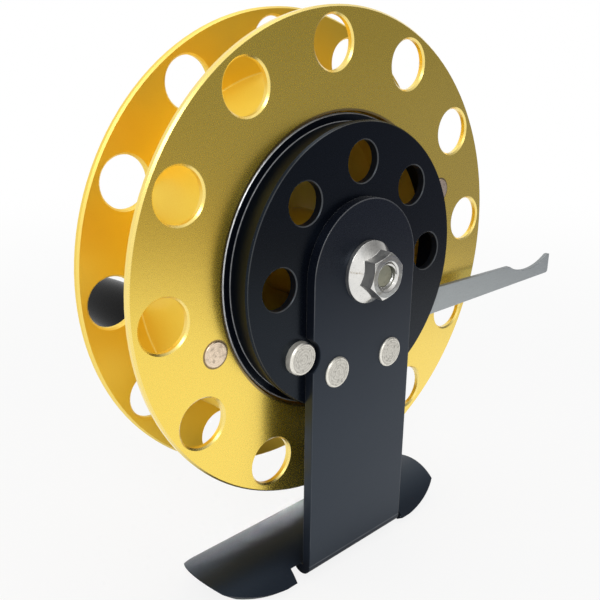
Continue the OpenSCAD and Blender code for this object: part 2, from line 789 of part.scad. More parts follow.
module rear_flange() color(gold) on_axle() translate([0, 0, rear_flange_z]) difference() {
    flange_plate(hub_r);
    flange_holes();
    on_circle(hub_screw_n, hub_screw_ring_r, post_turn + hub_screw_turn) {
        translate([0, 0, -flange_t - over]) cylinder(d = hub_screw_d, h = flange_t + 2 * over);
        translate([0, 0, -flange_t])
            cylinder(r1 = hub_screw_head_r, r2 = hub_screw_d / 2, h = hub_screw_d / 2);
    }
}

module spool_drum() color(gold) on_axle() difference() {
    ring(drum_r, drum_bore_r, rear_flange_z, -flange_t);
    on_circle(2, post_ring_r, post_turn) translate([0, 0, rear_flange_z - over])
        cylinder(r = post_r, h = line_w + 2 * over);
}

module spool_hub() color(gold) on_axle() difference() {
    bearing_r = bearing_od / 2;
    plate_front_z = rear_flange_z + hub_plate_t;
    rotate_extrude() polygon([
        [bearing_r, hub_front_z], [nose_r, hub_front_z], [nose_r, front_bearing_z], [hub_r, front_bearing_z],
        [hub_r, plate_front_z], [hub_plate_r, plate_front_z], [hub_plate_r, rear_flange_z],
        [hub_r, rear_flange_z], [hub_r, rear_bearing_z], [bearing_r, rear_bearing_z],
        [bearing_r, rear_bearing_z + bearing_w], [hub_bore_r, rear_bearing_z + bearing_w],
        [hub_bore_r, front_bearing_z], [bearing_r, front_bearing_z]
    ]);
    on_circle(hub_screw_n, hub_screw_ring_r, post_turn + hub_screw_turn)
        translate([0, 0, rear_flange_z - over]) cylinder(d = hub_screw_d, h = screw_depth + over);
}

module hub_screws() color(steel) on_axle()
    on_circle(hub_screw_n, hub_screw_ring_r, post_turn + hub_screw_turn) translate([0, 0, -spool_w])
        difference() {
            union() {
                cylinder(r1 = hub_screw_head_r, r2 = hub_screw_d / 2, h = hub_screw_d / 2);
                cylinder(d = hub_screw_d, h = flange_t + screw_depth);
            }
            translate([0, 0, -over])
                cylinder(r = hub_socket_af / 2 / cos(30), h = hub_socket_h + over, $fn = 6);
        }

module brake_ring() color(steel) on_axle() ring(brake_r, nose_r, front_bearing_z, hub_front_z);

// Handles

module handle_posts() color(steel) on_axle() on_circle(2, post_ring_r, post_turn) difference() {
    edge = post_end_h / 2;
    collar_r = collar_d / 2;
    rotate_extrude() polygon([
        [0, spindle_end_z], [spindle_r, spindle_end_z], [spindle_r, collar_back_z], [collar_r, collar_back_z],
        [collar_r, rear_bearing_z], [post_r, rear_bearing_z], [post_r, post_end_h - edge],
        [post_r - edge, post_end_h], [0, post_end_h]
    ]);
    translate([0, 0, spindle_end_z - over]) cylinder(d = knob_screw_d, h = knob_screw_l + over);
}

module knob_washers() color(steel) on_axle() on_circle(2, post_ring_r, post_turn)
    ring(knob_washer_r, knob_screw_d / 2, spindle_end_z - knob_washer_t, spindle_end_z);

module knob_screws() color(steel) on_axle() on_circle(2, post_ring_r, post_turn) {
    seat_z = spindle_end_z - knob_washer_t;
    top_z = seat_z - knob_screw_head_h;
    slot_l = 2 * (knob_screw_head_r + over);
    translate([0, 0, seat_z]) cylinder(d = knob_screw_d, h = knob_screw_l + knob_washer_t);
    difference() {
        translate([0, 0, top_z]) cylinder(r = knob_screw_head_r, h = knob_screw_head_h);
        translate([-slot_w / 2, -slot_l / 2, top_z - over])
            cube([slot_w, slot_l, over + knob_screw_head_h / 2]);
    }
}

// Half section of a knob: a barrel with rounded edges, a bore and a recess for the screw
module knob_section() {
    middle_z = (knob_front_z + knob_back_z) / 2;
    difference() {
        intersection() {
            translate([knob_bore_r, knob_back_z]) square([knob_d, knob_l]);
            translate([knob_d / 2 - knob_bow_r, middle_z]) circle(knob_bow_r, $fn = bow_facets);
        }
        translate([knob_end_r, knob_back_z]) corner_scrap(knob_round);
        translate([knob_end_r, knob_front_z]) mirror([0, 1]) corner_scrap(knob_round);
        translate([0, knob_back_z - over]) square([knob_recess_r, knob_recess + over]);
    }
}

module knob(index) color("#17181b") on_axle() rotate([0, 0, post_turn + 180 * index])
    translate([post_ring_r, 0, 0]) rotate_extrude() knob_section();

module knob_a() { knob(0); }
module knob_b() { knob(1); }
module front_inner_race() { inner_race(front_bearing_z); }
module rear_inner_race() { inner_race(rear_bearing_z); }
module front_outer_race() { outer_race(front_bearing_z); }
module rear_outer_race() { outer_race(rear_bearing_z); }
module front_balls() { balls(front_bearing_z); }
module rear_balls() { balls(rear_bearing_z); }
module front_cage() { cage(front_bearing_z); }
module rear_cage() { cage(rear_bearing_z); }

stand();
side_cover();
cover_rivets();
lever_pivot();
pivot_washer();
lever_spring();
pivot_clip();
axle_bolt();
axle_nut();
front_spacer();
bearing_spacer();
rear_spacer();
front_inner_race();
rear_inner_race();
brake_lever();
brake_shoe();
shoe_rivets();
front_flange();
rear_flange();
spool_drum();
spool_hub();
hub_screws();
brake_ring();
front_outer_race();
rear_outer_race();
bearing_shields();
handle_posts();
knob_washers();
knob_screws();
knob_a();
knob_b();
front_balls();
front_cage();
rear_balls();
rear_cage();
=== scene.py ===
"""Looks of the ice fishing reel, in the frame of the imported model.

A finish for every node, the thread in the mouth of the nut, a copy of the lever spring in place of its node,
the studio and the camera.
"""
import json
import math

import bmesh
import bpy
from mathutils import Matrix, Vector

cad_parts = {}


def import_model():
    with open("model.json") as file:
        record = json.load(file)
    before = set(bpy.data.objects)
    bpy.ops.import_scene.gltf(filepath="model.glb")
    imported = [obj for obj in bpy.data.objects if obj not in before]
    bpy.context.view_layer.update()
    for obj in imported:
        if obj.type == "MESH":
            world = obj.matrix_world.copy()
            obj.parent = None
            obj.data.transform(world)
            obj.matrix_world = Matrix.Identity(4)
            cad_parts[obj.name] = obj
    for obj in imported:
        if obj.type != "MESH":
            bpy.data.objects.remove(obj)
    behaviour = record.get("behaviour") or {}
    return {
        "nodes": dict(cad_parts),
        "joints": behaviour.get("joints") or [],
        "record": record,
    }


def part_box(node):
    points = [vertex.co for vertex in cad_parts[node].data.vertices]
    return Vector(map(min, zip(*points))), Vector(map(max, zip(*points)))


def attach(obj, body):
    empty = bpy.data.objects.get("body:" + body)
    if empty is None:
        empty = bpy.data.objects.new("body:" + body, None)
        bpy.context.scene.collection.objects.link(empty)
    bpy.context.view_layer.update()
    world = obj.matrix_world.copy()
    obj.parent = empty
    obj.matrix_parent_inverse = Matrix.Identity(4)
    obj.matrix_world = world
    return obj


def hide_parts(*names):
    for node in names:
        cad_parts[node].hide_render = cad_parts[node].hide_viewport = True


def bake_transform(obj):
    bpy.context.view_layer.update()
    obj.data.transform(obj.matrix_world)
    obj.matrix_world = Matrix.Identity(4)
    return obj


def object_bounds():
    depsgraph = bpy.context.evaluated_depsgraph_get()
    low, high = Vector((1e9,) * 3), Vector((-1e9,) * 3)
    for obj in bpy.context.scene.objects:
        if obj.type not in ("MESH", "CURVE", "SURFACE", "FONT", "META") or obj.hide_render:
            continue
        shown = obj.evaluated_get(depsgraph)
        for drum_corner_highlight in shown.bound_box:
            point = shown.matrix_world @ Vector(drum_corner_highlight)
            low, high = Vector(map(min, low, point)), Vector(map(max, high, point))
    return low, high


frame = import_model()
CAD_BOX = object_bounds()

# Places and sizes in metres, where an axis along Y is given as (x, z)

MM = 0.001


def joint_axis(name):
    x, _, z = next(joint["pos_m"] for joint in frame["joints"] if joint["name"] == name)
    return x, z


def paired_heads(node):
    """Head radius and both axes of two pins that stand side by side in one node."""
    low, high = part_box(node)
    head_r = (high.z - low.z) / 2
    return head_r, [(low.x + head_r, low.z + head_r), (high.x - head_r, high.z - head_r)]


AXLE = joint_axis("spool_spin")
PIVOT = joint_axis("lever_swing")
POSTS = [joint_axis("knob_a_spin"), joint_axis("knob_b_spin")]
RIVET_HEAD_R, RIVETS = paired_heads("cover_rivets")
POST_R = 2.4 * MM

FLANGE_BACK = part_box("front_flange")[1].y
REAR_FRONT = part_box("rear_flange")[0].y
REAR_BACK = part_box("rear_flange")[1].y
DRUM_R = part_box("spool_drum")[1].x
DRUM_BORE_R = DRUM_R - 6.4 * MM

STEM_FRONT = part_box("stand")[0].y
STEM_HALF_W = 14 * MM
STEM_FOOT_Z = 13.5 * MM
BEND_Z = 9.84 * MM

COVER_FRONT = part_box("side_cover")[0].y
COVER_LIP_FRONT = -3.5 * MM
COVER_LIP_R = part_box("side_cover")[1].x
COVER_FACE_R = 27.6 * MM
COVER_NECK_R = 27.2 * MM
COVER_HOLES_REACH = 25 * MM

NUT_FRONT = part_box("axle_nut")[0].y
BOLT_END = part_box("axle_bolt")[0].y
REEL_MIDDLE = (0, 0, 60 * MM)


# Node trees

class Tree:
    """Adds nodes to a node tree; every call gives back the socket that carries the result."""

    def __init__(self, tree):
        self.tree = tree

    def node(self, kind, inputs=(), **settings):
        node = self.tree.nodes.new(kind)
        for name, value in settings.items():
            setattr(node, name, value)
        for slot, value in dict(inputs).items():
            self.put(node.inputs[slot], value)
        return node

    def put(self, socket, value):
        if isinstance(value, bpy.types.NodeSocket):
            self.tree.links.new(value, socket)
        else:
            socket.default_value = value

    def math(self, operation, a, b=0.0):
        return self.node("ShaderNodeMath", {0: a, 1: b}, operation=operation).outputs[0]

    def times(self, a, b):
        return self.math("MULTIPLY", a, b)

    def plus(self, a, b):
        return self.math("ADD", a, b)

    def minus(self, a, b):
        return self.math("SUBTRACT", a, b)

    def most(self, *values):
        largest = values[0]
        for value in values[1:]:
            largest = self.math("MAXIMUM", largest, value)
        return largest

    def vector(self, operation, a, b=(0, 0, 0)):
        """A vector operation; a distance, a length or a dot product comes back as a number."""
        outputs = self.node("ShaderNodeVectorMath", {0: a, 1: b}, operation=operation).outputs
        gives_number = operation in ("DISTANCE", "LENGTH", "DOT_PRODUCT")
        return outputs["Value" if gives_number else "Vector"]

    def ramp(self, value, low, high, start=0.0, end=1.0):
        """Goes smoothly from start to end while value goes from low to high."""
        inputs = {"Value": value, "From Min": low, "From Max": high, "To Min": start, "To Max": end}
        return self.node("ShaderNodeMapRange", inputs, interpolation_type="SMOOTHSTEP").outputs[0]

    def below(self, value, low, high):
        """1 below low, 0 above high."""
        return self.ramp(value, low, high, 1.0, 0.0)

    def band(self, value, low, high, soft):
        """1 between low and high, 0 outside them."""
        rise = self.ramp(value, low - soft, low + soft)
        return self.times(rise, self.below(value, high - soft, high + soft))

    def choose(self, factor, a, b):
        """A number that goes from a to b as factor goes from 0 to 1."""
        return self.node("ShaderNodeMix", {0: factor, 2: a, 3: b}).outputs[0]

    def mix(self, factor, a, b):
        """A colour that goes from a to b as factor goes from 0 to 1."""
        return self.node("ShaderNodeMix", {0: factor, 6: a, 7: b}, data_type="RGBA").outputs[2]

    def rays(self):
        """What the camera sees itself, and that together with what it sees in metal or through glass."""
        path = self.node("ShaderNodeLightPath").outputs
        camera_ray = path["Is Camera Ray"]
        return camera_ray, self.most(camera_ray, path["Is Glossy Ray"], path["Is Transmission Ray"])


class Surface(Tree):
    """A material around one Principled shader, with the reel's own coordinates."""

    def __init__(self, name, round_edge=0.0, **settings):
        self.material = bpy.data.materials.new(name)
        self.material.use_nodes = True
        super().__init__(self.material.node_tree)
        self.shader = self.tree.nodes["Principled BSDF"]
        self.normal = None
        if round_edge:
            self.normal = self.node("ShaderNodeBevel", {"Radius": round_edge}, samples=6).outputs[0]
        self.place = self.node("ShaderNodeTexCoord").outputs["Object"]
        self.x, self.y, self.z = self.node("ShaderNodeSeparateXYZ", {0: self.place}).outputs
        for socket, value in settings.items():
            self.set(socket.replace("_", " "), value)

    def set(self, socket, value):
        if isinstance(value, tuple):
            value = rgba(*value)
        self.put(self.shader.inputs[socket], value)

    def radius(self, axis):
        """Distance from an axis along Y."""
        x, z = axis
        flat = self.vector("MULTIPLY", self.place, (1, 0, 1))
        return self.vector("DISTANCE", flat, (x, 0, z))

    def nearest(self, axes):
        """Distance from the nearest of some axes along Y."""
        r = self.radius(axes[0])
        for axis in axes[1:]:
            r = self.math("MINIMUM", r, self.radius(axis))
        return r

    def facing(self):
        """How squarely a face looks along the axle: 1 for plates, 0 for walls."""
        normal = self.node("ShaderNodeNewGeometry").outputs["True Normal"]
        return self.math("ABSOLUTE", self.node("ShaderNodeSeparateXYZ", {0: normal}).outputs[1])

    def noise(self, scale, detail=2.0, stretch=None):
        """Noise with about scale waves to the metre."""
        place = self.place
        if stretch:
            place = self.node("ShaderNodeMapping", {"Vector": place, "Scale": stretch}).outputs[0]
        inputs = {"Vector": place, "Scale": scale, "Detail": detail}
        return self.node("ShaderNodeTexNoise", inputs).outputs["Fac"]

    def rings(self, radius, pitch):
        """Turning marks round an axis."""
        return self.math("SINE", self.times(radius, 2 * math.pi / pitch))

    def bump(self, *layers):
        """Layers of (height, distance) one over the other."""
        normal = self.normal
        for height, distance in layers:
            inputs = {"Height": height, "Distance": distance, "Strength": 1.0}
            if normal:
                inputs["Normal"] = normal
            normal = self.node("ShaderNodeBump", inputs).outputs[0]
        self.set("Normal", normal)


def rgba(*colour):
    return (*colour, 1.0)


def grey(value):
    return rgba(value, value, value)


def shaded(colour, share):
    """A colour at a share of its strength, no brighter than white."""
    return rgba(*(min(1.0, share * channel) for channel in colour))


# Materials

def gold_anodised(name="gold_anodised", dye=(0.99, 0.69, 0.055), rough=(0.24, 0.29), coat=1.0):
    """Dyed and bead blasted, with bright cuts and paler hole walls, painted shade round the posts and in the
    front flange's bore, and a painted highlight where the drum meets the rear flange.
    """
    red, green, blue = dye
    yellower = rgba(red, 1.05 * green, 1.3 * blue)
    deeper = rgba(0.89 * red, 0.83 * green, 0.65 * blue)
    pale_wall = rgba(0.92, 0.72, 0.16)
    bright_cut = rgba(0.95, 0.74, 0.2)
    painted_highlight_colour = rgba(1.0, 0.88, 0.42)
    painted_shade_colour = rgba(0.16, 0.09, 0.02)
    s = Surface(name, Coat_Weight=coat, Coat_IOR=1.7, Coat_Roughness=0.24)

    facing = s.facing()
    r = s.radius(AXLE)
    beyond_drum = s.ramp(r, DRUM_R + 0.1 * MM, DRUM_R + 0.3 * MM)
    cut = s.times(s.band(facing, 0.55, 0.85, 0.05), beyond_drum)
    wall = s.times(s.below(facing, 0.1, 0.4), beyond_drum)
    within = s.below(r, DRUM_BORE_R, DRUM_BORE_R + 0.2 * MM)
    bore = s.times(within, s.below(s.y, FLANGE_BACK + 0.02 * MM, FLANGE_BACK + 0.08 * MM))
    hollow = s.times(within, s.below(s.y, REAR_BACK - 0.2 * MM, REAR_BACK - 0.1 * MM))
    inside = s.minus(hollow, bore)
    # Painted shade: a dark ring round the posts on the flange's face.
    round_posts = s.band(s.nearest(POSTS), POST_R - 0.1 * MM, POST_R + 0.32 * MM, 0.08 * MM)
    post_gap_shade = s.times(round_posts, s.ramp(facing, 0.5, 0.8))
    # Painted highlight: a bright line where the drum meets the rear flange.
    at_rear = s.band(s.y, REAR_FRONT - 0.22 * MM, REAR_FRONT + 0.05 * MM, 0.04 * MM)
    drum_corner_highlight = s.times(at_rear, s.band(r, DRUM_R - 0.4 * MM, DRUM_R + 0.25 * MM, 0.05 * MM))

    grain = s.noise(5200)
    colour = s.mix(s.noise(60, 3), rgba(*dye), yellower)
    colour = s.mix(s.ramp(grain, 0.3, 0.75, 0.0, 0.15), colour, deeper)
    colour = s.mix(s.times(wall, 0.6), colour, pale_wall)
    colour = s.mix(s.times(cut, 0.8), colour, bright_cut)
    colour = s.mix(s.times(drum_corner_highlight, 0.6), colour, painted_highlight_colour)
    # Painted shade round the posts and in the front flange's bore.
    painted_shade = s.most(s.times(post_gap_shade, 0.92), s.times(bore, 0.8))
    s.set("Base Color", s.mix(painted_shade, colour, painted_shade_colour))
    s.set("Metallic", s.minus(0.92, s.times(inside, 0.55)))
    blasted = s.plus(s.ramp(grain, 0.25, 0.8, *rough), s.times(wall, 0.12))
    s.set("Roughness", s.plus(blasted, s.times(inside, 0.15)))
    s.bump((grain, 0.005 * MM), (s.noise(900, 1), 0.006 * MM))
    return s.material


def black_sheet():
    """Satin black, its gloss tinted darker up the stem as painted shade and smoother there, rubbed to bare
    metal along the stem's edge with a painted highlight on it, and a painted highlight line along the fold
    at its foot.
    """
    deep_blue, blue_black = rgba(0.0025, 0.0035, 0.0075), rgba(0.0045, 0.006, 0.0115)
    speck = rgba(0.012, 0.014, 0.018)
    bare_metal_and_highlight = rgba(0.22, 0.225, 0.235)
    gloss_at_foot, shaded_gloss_at_top = rgba(0.58, 0.77, 1.0), rgba(0.24, 0.34, 0.50)
    s = Surface("black_sheet", 0.25 * MM, Specular_IOR_Level=0.60, Sheen_Weight=0.14, Sheen_Roughness=0.3)

    axle_z = AXLE[1]
    on_round = s.ramp(s.z, axle_z - 0.5 * MM, axle_z + 0.5 * MM)
    reach = s.choose(on_round, s.math("ABSOLUTE", s.x), s.radius(AXLE))
    edge = s.band(reach, STEM_HALF_W - 0.2 * MM, STEM_HALF_W + 0.05 * MM, 0.1 * MM)
    edge = s.times(edge, s.ramp(s.z, STEM_FOOT_Z, STEM_FOOT_Z + 1.5 * MM))
    # Partly rubbed bare metal, partly painted highlight: brighter higher up and on the left.
    edge = s.times(edge, s.ramp(s.z, axle_z - 12 * MM, axle_z + 8 * MM, 0.2, 1.0))
    edge = s.times(edge, s.ramp(s.x, -4 * MM, 10 * MM, 1.0, 0.45))
    edge = s.times(edge, s.ramp(s.facing(), 0.5, 0.8))
    # Painted highlight line along the fold at the foot of the stem.
    bend = s.band(s.z, BEND_Z - 0.06 * MM, BEND_Z + 0.16 * MM, 0.08 * MM)
    bend = s.times(bend, s.ramp(s.y, STEM_FRONT + 0.2 * MM, STEM_FRONT + 0.3 * MM, 0.6, 0.0))
    wear_and_highlight = s.times(s.most(edge, bend), s.ramp(s.noise(260), 0.3, 0.6, 0.6, 1.0))

    grain = s.noise(3800)
    colour = s.mix(s.noise(45, 3), deep_blue, blue_black)
    colour = s.mix(s.ramp(grain, 0.45, 0.8, 0.0, 0.5), colour, speck)
    s.set("Base Color", s.mix(wear_and_highlight, colour, bare_metal_and_highlight))
    # Painted shade: the gloss is tinted darker up the stem.
    deeper = s.ramp(s.z, axle_z - 36 * MM, axle_z + 6 * MM)
    s.set("Specular Tint", s.mix(deeper, gloss_at_foot, shaded_gloss_at_top))
    s.set("Metallic", s.times(wear_and_highlight, 0.8))
    smoother = s.ramp(s.z, axle_z - 32 * MM, axle_z + 14 * MM, 0.0, 0.17)
    s.set("Roughness", s.minus(s.ramp(grain, 0.2, 0.8, 0.40, 0.50), smoother))
    s.bump((grain, 0.01 * MM), (s.noise(160), 0.02 * MM))
    return s.material


def black_cover():
    """Turned and dyed black, with bright cut metal along its lip and fainter along its other edges."""
    deep_blue, blue_black = rgba(0.0012, 0.0018, 0.004), rgba(0.002, 0.003, 0.006)
    cut_metal = rgba(0.93, 0.94, 0.95)
    s = Surface("black_cover", 0.15 * MM, Specular_IOR_Level=0.25, Specular_Tint=(0.62, 0.80, 1.0))

    facing = s.facing()
    r = s.radius(AXLE)
    lip_edge = s.ramp(r, COVER_LIP_R - 0.28 * MM, COVER_LIP_R - 0.2 * MM)
    face_edge = s.ramp(r, COVER_FACE_R - 0.02 * MM, COVER_FACE_R + 0.06 * MM)
    face_edge = s.times(face_edge, s.below(s.y, COVER_FRONT + 0.18 * MM, COVER_FRONT + 0.24 * MM))
    foot = s.band(r, COVER_NECK_R - 0.1 * MM, COVER_NECK_R + 0.12 * MM, 0.05 * MM)
    foot = s.times(foot, s.ramp(s.y, COVER_LIP_FRONT - 0.25 * MM, COVER_LIP_FRONT - 0.15 * MM))
    wall = s.below(facing, 0.2, 0.5)
    drilled = s.times(wall, s.below(r, COVER_HOLES_REACH - 0.2 * MM, COVER_HOLES_REACH))
    near_holes = s.below(r, COVER_HOLES_REACH - 0.1 * MM, COVER_HOLES_REACH + 0.1 * MM)
    drilled_edge = s.times(s.band(facing, 0.5, 0.85, 0.05), near_holes)
    shares = ((face_edge, 0.06), (foot, 0.4), (drilled, 0.006), (drilled_edge, 0.08))
    bright = s.most(lip_edge, *(s.times(mask, share) for mask, share in shares))
    bright = s.times(bright, s.ramp(s.noise(500), 0.3, 0.55, 0.75, 1.0))

    grain = s.noise(3800)
    colour = s.mix(s.noise(40, 3), deep_blue, blue_black)
    s.set("Base Color", s.mix(bright, colour, cut_metal))
    s.set("Metallic", s.times(bright, 0.9))
    rough = s.ramp(grain, 0.2, 0.8, 0.20, 0.29)
    s.set("Roughness", s.plus(rough, s.times(s.most(lip_edge, wall), 0.16)))
    s.bump((s.rings(r, 0.16 * MM), 0.0012 * MM), (grain, 0.006 * MM))
    return s.material


def turned_steel(name, centres, tint=(0.66, 0.63, 0.60), depth=0.6, pitch=0.42 * MM):
    """Turned faces with fine rings round the nearest of the centres, and a painted highlight in a ring at
    the edge of the heads.
    """
    s = Surface(name, 0.15 * MM, Metallic=1.0)
    r = s.nearest(centres)
    wobble = s.times(s.noise(800, 3), 0.7 * MM)
    marks = s.rings(s.plus(r, wobble), pitch)
    grain = s.noise(1900, 4)
    # Painted highlight: a brighter ring at the edge of the heads.
    rim_highlight = s.ramp(r, RIVET_HEAD_R - 0.48 * MM, RIVET_HEAD_R - 0.3 * MM, 0.0, 0.7)
    colour = s.mix(s.ramp(marks, -1, 1, 0.0, depth), rgba(*tint), shaded(tint, 0.55))
    colour = s.mix(s.ramp(grain, 0.52, 0.68, 0.0, 0.6), colour, shaded(tint, 0.42))
    s.set("Base Color", s.mix(rim_highlight, colour, shaded(tint, 1.4)))
    duller_side = s.ramp(s.facing(), 0.3, 0.6, 0.3, 0.0)
    s.set("Roughness", s.plus(s.ramp(grain, 0.2, 0.8, 0.22, 0.4), duller_side))
    s.bump((marks, 0.006 * depth * MM), (grain, 0.006 * MM))
    return s.material


def plated_steel(name="plated_steel", light=(0.88, 0.86, 0.81), dark=(0.62, 0.62, 0.61), rough=(0.08, 0.18)):
    """Zinc plate with a cloudy shine, duller on the flats, with painted shade darkening the flats and the
    nut's front.
    """
    painted_shade_front = rgba(0.47, 0.50, 0.52)
    s = Surface(name, 0.2 * MM, Metallic=1.0)
    facing = s.facing()
    side = s.below(facing, 0.3, 0.6)
    front = s.times(s.ramp(facing, 0.9, 0.98), s.below(s.y, NUT_FRONT + 0.05 * MM, NUT_FRONT + 0.2 * MM))
    cloud = s.noise(420, 3)
    grain = s.noise(2400)
    colour = s.mix(cloud, rgba(*light), rgba(*dark))
    colour = s.mix(s.ramp(grain, 0.55, 0.8, 0.0, 0.4), colour, shaded(dark, 0.75))
    # Painted shade: darker copies of the plate on the flats and the nut's front.
    colour = s.mix(s.times(side, 0.7), colour, shaded(dark, 0.62))
    s.set("Base Color", s.mix(front, colour, painted_shade_front))
    s.set("Roughness", s.plus(s.ramp(cloud, 0.3, 0.7, *rough), s.times(side, 0.28)))
    s.bump((cloud, 0.06 * MM), (grain, 0.004 * MM))
    return s.material


def stained_metal(name, clean, stained, stain_scale, rough):
    """A bare metal surface, darker and duller where it is stained, still without its bump."""
    s = Surface(name, Metallic=1.0)
    stain = s.noise(stain_scale, 3)
    s.set("Base Color", s.mix(stain, rgba(*clean), rgba(*stained)))
    s.set("Roughness", s.ramp(stain, 0.3, 0.7, *rough))
    return s


def bearing_steel():
    s = stained_metal("bearing_steel", (0.72, 0.73, 0.75), (0.60, 0.61, 0.64), 500, (0.10, 0.2))
    s.bump((s.rings(s.radius(AXLE), 0.09 * MM), 0.0006 * MM))
    return s.material


def spring_steel():
    s = stained_metal("spring_steel", (0.50, 0.51, 0.53), (0.36, 0.37, 0.40), 650, (0.22, 0.38))
    s.bump((s.noise(3000), 0.004 * MM))
    return s.material


def cage_brass():
    s = stained_metal("cage_brass", (0.74, 0.55, 0.23), (0.58, 0.39, 0.13), 900, (0.2, 0.36))
    s.bump((s.noise(3000), 0.004 * MM))
    return s.material


def lever_steel():
    """Satin sheet with streaks along the lever and darker blanked edges."""
    streak_stretch = (1.0, 1.0, 22.0)
    dark_streak, light_streak = rgba(0.41, 0.445, 0.455), rgba(0.56, 0.60, 0.61)
    speck, blanked = rgba(0.31, 0.33, 0.35), rgba(0.13, 0.135, 0.145)
    s = Surface("lever_steel", 0.15 * MM, Metallic=0.75)
    streak = s.noise(260, 3, streak_stretch)
    grain = s.noise(3600)
    edge = s.below(s.facing(), 0.3, 0.7)
    colour = s.mix(streak, dark_streak, light_streak)
    colour = s.mix(s.ramp(grain, 0.5, 0.8, 0.0, 0.4), colour, speck)
    s.set("Base Color", s.mix(s.times(edge, 0.6), colour, blanked))
    s.set("Roughness", s.plus(s.ramp(streak, 0.3, 0.7, 0.38, 0.5), s.times(edge, 0.12)))
    s.bump((streak, 0.012 * MM), (grain, 0.006 * MM))
    return s.material


def friction_pad():
    """Moulded lining of fibres with paler chips."""
    fibre_stretch = (0.35, 1.0, 1.0)
    binder, fibre_brown, chip = rgba(0.10, 0.06, 0.035), rgba(0.26, 0.17, 0.10), rgba(0.34, 0.26, 0.16)
    s = Surface("friction_pad")
    fibre = s.noise(1500, 4, fibre_stretch)
    cells = s.node("ShaderNodeTexVoronoi", {"Vector": s.place, "Scale": 2600.0}).outputs["Distance"]
    colour = s.mix(fibre, binder, fibre_brown)
    s.set("Base Color", s.mix(s.ramp(cells, 0.05, 0.25, 0.6, 0.0), colour, chip))
    s.set("Roughness", s.ramp(fibre, 0.2, 0.8, 0.7, 0.92))
    s.bump((fibre, 0.03 * MM), (cells, 0.02 * MM))
    return s.material


def knob_plastic():
    """Black moulding with a fine grain and a slow sweep in its colour."""
    black, worn_black = rgba(0.003, 0.0033, 0.004), rgba(0.006, 0.0063, 0.007)
    s = Surface("knob_plastic", 0.3 * MM, Specular_IOR_Level=0.07)
    grain = s.noise(2600, 3)
    sweep = s.noise(120)
    s.set("Base Color", s.mix(sweep, black, worn_black))
    s.set("Roughness", s.ramp(grain, 0.2, 0.8, 0.2, 0.3))
    s.bump((grain, 0.006 * MM), (sweep, 0.02 * MM))
    return s.material


finishes = {
    "black_sheet": black_sheet(),
    "black_cover": black_cover(),
    "gold_anodised": gold_anodised(),
    "rivet_steel": turned_steel("rivet_steel", [AXLE]),
    "plated_steel": plated_steel(),
    "bearing_steel": bearing_steel(),
    "spring_steel": spring_steel(),
    "lever_steel": lever_steel(),
    "friction_pad": friction_pad(),
    "knob_plastic": knob_plastic(),
    "cage_brass": cage_brass(),
}
head_look = {"tint": (0.67, 0.65, 0.59), "depth": 0.4, "pitch": 0.55 * MM}
bolt_look = {"light": (0.46, 0.47, 0.37), "dark": (0.30, 0.31, 0.25), "rough": (0.28, 0.4)}
own_finish = {
    "cover_rivets": turned_steel("turned_rivets", RIVETS, **head_look),
    "lever_pivot": turned_steel("turned_pivot", [PIVOT], **head_look),
    "handle_posts": turned_steel("turned_posts", POSTS, tint=(0.93, 0.76, 0.58), depth=0.25),
    "axle_bolt": plated_steel("bolt_steel", **bolt_look),
    "spool_drum": gold_anodised("gold_drum", dye=(0.92, 0.66, 0.075), rough=(0.54, 0.66), coat=0.15),
    # The rear flange takes a darker copy of the gold dye, as painted shade.
    "rear_flange": gold_anodised("gold_rear", dye=(0.93, 0.635, 0.062), rough=(0.42, 0.54), coat=0.12),
}
for part in frame["record"]["subparts"]:
    node_mesh = frame["nodes"][part["node"]].data
    node_mesh.materials.clear()
    node_mesh.materials.append(own_finish.get(part["node"], finishes[part["material_slot"]]))


# Pieces of the scene's own

def add_object(name, data):
    obj = bpy.data.objects.new(name, data)
    bpy.context.scene.collection.objects.link(obj)
    return obj


def mesh_of(build, name):
    mesh = bpy.data.meshes.new(name)
    build.to_mesh(mesh)
    build.free()
    return mesh


def nut_thread():
    """One turn of thread in the mouth of the axle nut, in front of the bolt's end."""
    pitch, crest_r, root_r = 0.8 * MM, 2.12 * MM, 2.52 * MM
    half_root, half_crest = 0.36 * MM, 0.06 * MM
    first, last = NUT_FRONT + 0.4 * MM, BOLT_END + 0.2 * MM
    steps = 96
    runout = 6
    blunt_end = 0.05
    axle_x, axle_z = AXLE
    build = bmesh.new()
    rings = []
    for i in range(steps + 1):
        along = i / steps
        middle = first + (last - first) * along
        turn = 2 * math.pi * (last - first) / pitch * along
        top_r = root_r - (root_r - crest_r) * min(1.0, runout * along, runout * (1 - along) + blunt_end)
        profile = [(root_r, -half_root), (top_r, -half_crest), (top_r, half_crest), (root_r, half_root)]
        rings.append([
            build.verts.new((axle_x + r * math.cos(turn), middle + y, axle_z + r * math.sin(turn)))
            for r, y in profile
        ])
    corners = len(rings[0])
    for a, b in zip(rings, rings[1:]):
        for j in range(corners):
            k = (j + 1) % corners
            build.faces.new((a[j], b[j], b[k], a[k]))
    build.faces.new(rings[0])
    build.faces.new(reversed(rings[-1]))
    bmesh.ops.recalc_face_normals(build, faces=build.faces)
    obj = add_object("nut_thread", mesh_of(build, "nut_thread"))
    obj.data.materials.append(finishes["plated_steel"])
    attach(obj, "stand")


def bending_spring():
    """A copy of the lever spring where it stands, in place of its node, which is hidden."""
    solid = frame["nodes"]["lever_spring"]
    obj = add_object("sprung_wire", solid.data.copy())
    obj.matrix_world = solid.matrix_world.copy()
    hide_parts("lever_spring")
    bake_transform(obj)


nut_thread()
bending_spring()


# Studio

def lamp(name, place, size, power, target=REEL_MIDDLE, spread=180):
    light = bpy.data.lights.new(name, "AREA")
    light.shape = "DISK"
    light.size = size
    light.energy = power
    light.spread = math.radians(spread)
    obj = add_object(name, light)
    obj.visible_camera = False
    obj.location = place
    obj.rotation_euler = (Vector(target) - Vector(place)).to_track_quat("-Z", "Y").to_euler()


